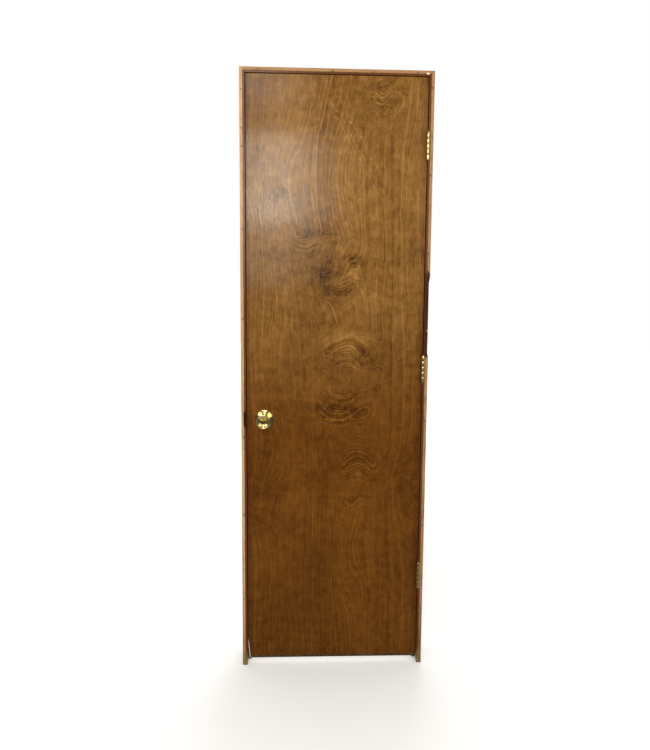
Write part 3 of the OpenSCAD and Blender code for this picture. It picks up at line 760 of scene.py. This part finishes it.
def knob_profile(height, hole):
    """Tulip knob: from the neck's foot, round the rim, across the dished face and down the bore.

    height is how far it stands out of the slab and hole is the radius of the bore's mouth, both in metres.
    """
    rim_r, rim = 24.2, 2.4
    neck, foot_r = 10.2, 0.5
    dish, mouth = 7.0, 13.0
    bore_r, bore_end = 4.0, 3.0
    top = height / MM
    hole = hole / MM
    foot = arc(neck - foot_r, 3.5, foot_r, -90, -10, 4)
    outer = smooth_curve([
        (neck, 3.2), (neck, 9), (neck + 0.2, 14), (neck + 1.4, 20),
        (14.4, 27), (18.6, 36), (22.0, 45), (rim_r - 0.25, top - 5.2),
    ])
    lip = arc(rim_r - rim, top - rim, rim, 0, 140, 14)
    face = smooth_curve([
        (19.8, top - 1.6), (17.8, top - 2.9), (15.2, top - 4.5), (12.6, top - 5.9),
        (10.6, top - 6.75), (9.2, top - dish), (6.4, top - dish), (3.6, top - dish),
    ])
    bore = [(hole, top - dish), (hole, top - mouth), (bore_r, top - mouth), (bore_r, bore_end)]
    return in_mm(foot + outer + lip + face + bore)


def rose_profile():
    """Rose: from its rim, up the cone to the collar round the knob's neck, and back down inside."""
    r = 33.3
    rim = arc(r - 1.3, 1.3, 1.3, -20, 70, 8)
    step = [(r - 2.2, 2.75), (r - 3.2, 2.8), (r - 3.9, 3.15)]
    cone = [(r - 4.3 - 2.25 * i, 3.4 + 1.125 * i) for i in range(7)]
    collar = arc(13.9, 10.5, 1.1, 20, 90, 6) + arc(11.3, 11.1, 0.5, 90, 180, 4)
    inside = [(10.8, 10.0), (13.0, 9.2), (16.2, 7.8), (r - 3.4, 1.8), (r - 2.0, 0.1)]
    return in_mm(rim + step + cone + collar + inside)


def torn_fill(u, z):
    """How much of the torn-away corner is left, 0 to 1. u runs across the tear from the front to the side."""
    long = noise.noise(Vector((u * 7.0, z * 38.0, 1.0)))
    short = noise.noise(Vector((u * 13.0, z * 260.0, 7.0)))
    slow = noise.noise(Vector((u * 2.0, z * 16.0, 3.0)))
    fill = 0.16 + 0.30 * long + 0.10 * short + 0.16 * slow
    # the tear closes over 14 mm at its foot and 34 mm at its top
    shut = max(1 - (z - TORN_Z[0]) / 0.014, 1 - (TORN_Z[1] - z) / 0.034, 0.0)
    fill = max(fill, 0.02) + shut * (0.80 + 0.25 * short + 0.30 * long)
    return min(max(fill, 0.02), 0.97) * min(1.0, 12 * u, 12 * (1 - u))


def torn_surface(name):
    """Ragged long fibres left on the torn corner, between the tear and the leg's first outline."""
    rows, cols = 150, 16
    start = Vector((OUTER_X - TORN_X, 0, 0))
    end = Vector((OUTER_X, TORN_Y, 0))
    inward = Vector((-TORN_Y, TORN_X, 0)).normalized() * 0.4 * MM
    bm = bmesh.new()
    outer, inner = [], []
    for i in range(rows + 1):
        z = TORN_Z[0] + (TORN_Z[1] - TORN_Z[0]) * i / rows
        outer_row, inner_row = [], []
        for j in range(cols + 1):
            u = j / cols
            on_tear = start.lerp(end, u)
            run = u * (TORN_X + TORN_Y)
            on_front_edge = Vector((OUTER_X - TORN_X + run, 0, 0))
            on_side = Vector((OUTER_X, run - TORN_X, 0))
            point = on_tear.lerp(on_front_edge if run < TORN_X else on_side, torn_fill(u, z))
            back = on_tear + inward
            outer_row.append(bm.verts.new((point.x, point.y, z)))
            inner_row.append(bm.verts.new((back.x, back.y, z)))
        outer.append(outer_row)
        inner.append(inner_row)
    # both sheets, then the four sides that close them
    for i in range(rows):
        for j in range(cols):
            bm.faces.new((outer[i][j], outer[i][j + 1], outer[i + 1][j + 1], outer[i + 1][j]))
            bm.faces.new((inner[i][j], inner[i + 1][j], inner[i + 1][j + 1], inner[i][j + 1]))
        bm.faces.new((outer[i][0], outer[i + 1][0], inner[i + 1][0], inner[i][0]))
        bm.faces.new((outer[i][cols], inner[i][cols], inner[i + 1][cols], outer[i + 1][cols]))
    for j in range(cols):
        bm.faces.new((outer[0][j], inner[0][j], inner[0][j + 1], outer[0][j + 1]))
        bm.faces.new((outer[rows][j], outer[rows][j + 1], inner[rows][j + 1], inner[rows][j]))
    bmesh.ops.recalc_face_normals(bm, faces=bm.faces)
    mesh = bpy.data.meshes.new(name)
    bm.to_mesh(mesh)
    bm.free()
    return mesh


def shaded_torn_wood():
    """Ragged wood painted dark: painted shade on a break that faces away from the light, with one pale chip
    low on the outer side.
    """
    p = Paint("shaded_torn_wood")
    fibre = p.grain(1400.0, 1400.0, 45.0, 4.0, 0.7, 6.0)
    patch = p.grain(160.0, 160.0, 26.0, 3.0, 0.6, 8.0)
    tone = p.mad(p.sub(patch, 0.5), 0.5, fibre)
    # the dark ramp is painted shade on the break
    colour = p.ramp(tone, (0.25, srgb(38, 22, 10)), (0.62, srgb(74, 46, 22)), (0.88, srgb(120, 80, 46)))
    chip_z = 1.216
    near = p.off(p.mad(p.sub(patch, 0.5), 0.004, p.sub(p.z, chip_z)))
    chip = p.mul(p.step(near, 0.0042, 0.0018), p.step(p.x, OUTER_X - 0.0073, OUTER_X - 0.0053))
    colour = p.mix(chip, colour, srgb(214, 176, 138))
    p.set(Base_Color=colour, Roughness=0.85, Specular_IOR_Level=0.10)
    p.bump(fibre, 0.5 * MM, 0.9)
    return p.mat


# ---------------------------------------------------------------- materials in use
FRONT = front_veneer()
BACK = back_veneer()
HINGE_LEG = board("pine_hinge_leg", "z", 2.0, leg_stain_and_tear_shade(1), dirt=0.60, knots=[(1.62, 0.012), (0.52, 0.009)],
                  tint=(206, 196, 184), marks=hinge_marks_and_shade)
STRIKE_LEG = board("pine_strike_leg", "z", 5.5, leg_stain_and_tear_shade(-1), dirt=0.40, knots=[(0.74, 0.011), (1.93, 0.008)],
                   tint=(244, 240, 232), marks=strike_marks_and_shade)
HEAD = board("pine_head", "x", 9.0, head_stain, dirt=0.45, knots=[(0.11, 0.010)],
             tint=(212, 202, 190), marks=head_marks)
STOPS = board("stained_stops", "z", 13.0, all_stained, dirt=0.2)
HEAD_STOP = board("stained_head_stop", "x", 17.0, all_stained, dirt=0.2)
STILES = board("slab_pine", "z", 21.0, stile_stain, dirt=0.15)
RAILS = board("slab_rail_pine", "x", 24.0)
CARD = card("core_card")
POLISHED = metal("polished_brass", srgb(212, 190, 122), srgb(150, 116, 58), 0.05, 0.20, 1.0, SMOOTH)
TURNED = metal("turned_brass", srgb(206, 182, 114), srgb(140, 106, 54), 0.09, 0.25, 4.0, SMOOTH, turned=0.50)
HINGE_BRASS = metal("hinge_brass", srgb(222, 202, 136), srgb(142, 104, 50), 0.22, 0.20, 7.0, SMOOTH)
SCREW_BRASS = metal("screw_brass", srgb(220, 190, 118), srgb(110, 80, 42), 0.28, 0.60, 9.0)
KNOB_BRASS = metal("knob_brass", srgb(224, 204, 140), srgb(156, 122, 62), 0.20, 0.20, 2.0, SMOOTH)
DARK_BRASS = dark_brass("dark_strike_brass", 3.0)
STEEL = metal("zinc_steel", srgb(196, 196, 190), srgb(120, 116, 106), 0.34, 0.45, 12.0)

HINGES = ("top", "middle", "bottom")

NODE_LOOKS = {
    "hinge_jamb": HINGE_LEG, "strike_jamb": STRIKE_LEG, "head_jamb": HEAD,
    "hinge_stop": STOPS, "strike_stop": STOPS, "head_stop": HEAD_STOP,
    "front_skin": FRONT, "back_skin": BACK,
    "hinge_stile": STILES, "latch_stile": STILES, "top_rail": RAILS, "bottom_rail": RAILS,
    "lock_block": RAILS, "core_lattice": CARD,
    "corner_nails": STEEL, "stop_brads": STEEL, "front_mounting_plate": STEEL,
    "back_mounting_plate": STEEL, "through_screws": STEEL, "latch_case": STEEL,
    "spindle": STEEL, "latch_cam": STEEL, "latch_spring": STEEL, "lock_bar": STEEL,
    "frame_leaf_screws": SCREW_BRASS, "door_leaf_screws": SCREW_BRASS,
    "strike_screws": SCREW_BRASS, "faceplate_screws": SCREW_BRASS,
    "strike_plate": DARK_BRASS, "latch_faceplate": HINGE_BRASS, "latch_bolt": POLISHED,
    "turn_button": POLISHED, "front_knob": POLISHED, "back_knob": POLISHED,
    "front_rose": TURNED, "back_rose": TURNED, "hinge_tips": HINGE_BRASS,
}
# How far each node's sharp edges are eased, in mm
EASED = {
    "hinge_jamb": 0.7, "strike_jamb": 0.7, "head_jamb": 0.5, "hinge_stop": 0.5, "strike_stop": 0.5,
    "head_stop": 0.5, "front_skin": 0.5, "back_skin": 0.5, "turn_button": 0.7, "strike_plate": 0.3,
    "latch_faceplate": 0.3, "latch_bolt": 0.5,
}
for hinge in HINGES:
    for part in ("frame_leaf", "door_leaf", "hinge_pin"):
        NODE_LOOKS[f"{hinge}_{part}"] = HINGE_BRASS
    EASED[f"{hinge}_frame_leaf"] = 0.35
    EASED[f"{hinge}_door_leaf"] = 0.35


def ease(node, width):
    """Welds the shown mesh and rounds its sharp edges, as modifiers, so the CAD mesh itself stays."""
    weld = node.modifiers.new("weld", "WELD")
    weld.merge_threshold = 0.02 * MM
    bevel = node.modifiers.new("ease", "BEVEL")
    bevel.width = width * MM
    bevel.segments = 2
    bevel.limit_method = "ANGLE"
    bevel.angle_limit = math.radians(40)
    bevel.use_clamp_overlap = True
    bevel.harden_normals = False


for name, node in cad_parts.items():
    node.data.materials.clear()
    node.data.materials.append(NODE_LOOKS[name])
    if name in EASED:
        ease(node, EASED[name])

# The front knob's bore lets the turn button's stem through, and the back knob's is as wide as the lock bar
FRONT_KNOB = knob_profile(FACE_Y - knob_lo.y, 2.6 * MM)
BACK_KNOB = knob_profile(back_knob_hi.y - BACK_Y, 1.5 * MM)
ROSE = rose_profile()
# Piece, the CAD node that it replaces, body, material, profile, where it stands and which way it points
for name, node, body, material, profile, y, sign in (
    ("knob_front", "front_knob", "knobs", KNOB_BRASS, FRONT_KNOB, FACE_Y, -1),
    ("knob_back", "back_knob", "knobs", KNOB_BRASS, BACK_KNOB, BACK_Y, 1),
    ("rose_front", "front_rose", "door", TURNED, ROSE, FACE_Y, -1),
    ("rose_back", "back_rose", "door", TURNED, ROSE, BACK_Y, 1),
):
    piece = new_piece(name, lathe(name, profile, y, sign), body, material)
    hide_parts(node)

new_piece("torn_fibres", torn_surface("torn_fibres"), "frame", shaded_torn_wood())

# ---------------------------------------------------------------- floor, light, camera
# How bright the room is, and how much of that is missing behind the camera
ROOM_LIGHT = 0.80
ROOM_DARK = 0.88
# Radius of the floor
FLOOR_R = 30

scene = bpy.context.scene
scene.view_settings.view_transform = "Standard"
scene.view_settings.look = "None"


def make_floor():
    """A pale disc, which glows more with distance so that no horizon shows."""
    bm = bmesh.new()
    rim = [bm.verts.new((x, y, 0)) for x, y in arc(0, 0, FLOOR_R, 0, 356.25, 95)]
    bm.faces.new(rim)
    mesh = bpy.data.meshes.new("floor")
    bm.to_mesh(mesh)
    bm.free()
    floor = bpy.data.objects.new("floor", mesh)
    scene.collection.objects.link(floor)
    p = Paint("pale_floor")
    cloud = p.grain(1.2, 1.2, 1.0, 3.0, 0.5, 1.0)
    p.set(Base_Color=p.ramp(cloud, (0.2, srgb(228, 228, 227)), (0.8, srgb(233, 233, 233))))
    away = p.do("SQRT", p.mad(p.x, p.x, p.mul(p.y, p.y)))
    p.set(Roughness=0.9, Specular_IOR_Level=0.1)
    p.set(Emission_Color=(1.0, 1.0, 1.0, 1.0), Emission_Strength=p.step(away, 1.2, 5.0, 0.30, 0.80))
    mesh.materials.append(p.mat)
    # polished metal and varnish mirror the dim room here, not the floor
    floor.visible_glossy = False


def softbox(name, place, target, width, height, power, colour=(1, 1, 1)):
    """A rectangle of light that the camera doesn't see."""
    data = bpy.data.lights.new(name, "AREA")
    data.shape = "RECTANGLE"
    data.size, data.size_y = width, height
    data.energy = power
    data.color = colour
    lamp = bpy.data.objects.new(name, data)
    lamp.location = place
    lamp.rotation_mode = "QUATERNION"
    lamp.rotation_quaternion = (Vector(target) - Vector(place)).to_track_quat("-Z", "Y")
    lamp.visible_camera = False
    scene.collection.objects.link(lamp)


def room():
    """White to the camera; to the object, a pale room that is darker behind the camera."""
    world = bpy.data.worlds.new("room")
    world.use_nodes = True
    scene.world = world
    tree = world.node_tree
    tree.nodes.clear()
    link = tree.links.new
    way = tree.nodes.new("ShaderNodeTexCoord").outputs["Generated"]
    split = tree.nodes.new("ShaderNodeSeparateXYZ")
    link(way, split.inputs[0])

    def ranged(value, low, high, to_low, to_high):
        made = tree.nodes.new("ShaderNodeMapRange")
        made.interpolation_type = "SMOOTHSTEP"
        link(value, made.inputs[0])
        for socket, v in zip(made.inputs[1:5], (low, high, to_low, to_high)):
            socket.default_value = v
        return made.outputs[0]

    def math_node(op, *values):
        made = tree.nodes.new("ShaderNodeMath")
        made.operation = op
        for socket, value in zip(made.inputs, values):
            if isinstance(value, bpy.types.NodeSocket):
                link(value, socket)
            else:
                socket.default_value = value
        return made.outputs[0]

    # darker in front of the object, except overhead and, in part, straight below
    front = ranged(split.outputs[1], -0.20, 0.25, 1.0, 0.0)
    low = ranged(split.outputs[2], 0.75, 0.98, 1.0, 0.0)
    under = ranged(split.outputs[2], -0.82, -0.60, 0.40, 1.0)
    dark = math_node("MULTIPLY", math_node("MULTIPLY", front, low), under)
    light = math_node("MULTIPLY_ADD", dark, -ROOM_DARK, 1.0)
    lit = tree.nodes.new("ShaderNodeBackground")
    lit.inputs[0].default_value = (1.0, 0.99, 0.97, 1.0)
    link(math_node("MULTIPLY", light, ROOM_LIGHT), lit.inputs[1])
    white = tree.nodes.new("ShaderNodeBackground")
    white.inputs[0].default_value = (1.0, 1.0, 1.0, 1.0)
    ray = tree.nodes.new("ShaderNodeLightPath").outputs["Is Camera Ray"]
    both = tree.nodes.new("ShaderNodeMixShader")
    link(ray, both.inputs[0])
    link(lit.outputs[0], both.inputs[1])
    link(white.outputs[0], both.inputs[2])
    out = tree.nodes.new("ShaderNodeOutputWorld")
    link(both.outputs[0], out.inputs[0])


make_floor()
room()
# the pale patch on the varnish, and its tail
softbox("key", (-0.40, -3.0, 2.45), (-0.18, 0, 1.70), 0.18, 0.72, 28, (1.0, 0.94, 0.84))
softbox("key_tail", (-0.46, -3.0, 1.93), (-0.18, 0, 1.40), 0.40, 0.70, 9, (1.0, 0.92, 0.80))
# glints and form on the brass, and the fill from both sides
softbox("left_strip", (-2.19, -1.94, 2.12), (0, 0, 1.0), 0.14, 0.9, 6)
softbox("left_window", (-1.75, -2.40, 2.30), (0, 0, 1.1), 1.1, 1.3, 13, (1.0, 0.97, 0.90))
softbox("top_strip", (-0.46, -2.18, 2.98), (0, 0, 1.0), 0.14, 0.5, 5)
softbox("right_window", (1.55, -2.25, 2.15), (0, 0, 1.2), 1.2, 1.6, 15, (1.0, 0.93, 0.80))
# light from behind, on the floor and the back
softbox("behind", (0.6, 3.2, 3.4), (0, 0, 1.0), 2.0, 1.4, 60)

# Where the photograph was taken from, and how the camera was turned from looking straight along +Y:
# about the axis that this vector gives, by its length in radians
CAMERA_PLACE = Vector((-0.1035, -1.9379, 1.2450))
CAMERA_TURN = Vector((0.09491, 0.00575, 0.03530))
camera_data = bpy.data.cameras.new("camera")
camera_data.lens = 26.88
camera_data.sensor_width = 36
camera_data.sensor_fit = "AUTO"
camera = bpy.data.objects.new("camera", camera_data)
scene.collection.objects.link(camera)
turn = Matrix.Rotation(CAMERA_TURN.length, 3, CAMERA_TURN.normalized())
look = turn.transposed() @ Matrix(((1, 0, 0), (0, 0, -1), (0, 1, 0)))
camera.matrix_world = Matrix.Translation(CAMERA_PLACE) @ look.to_4x4()
scene.camera = camera
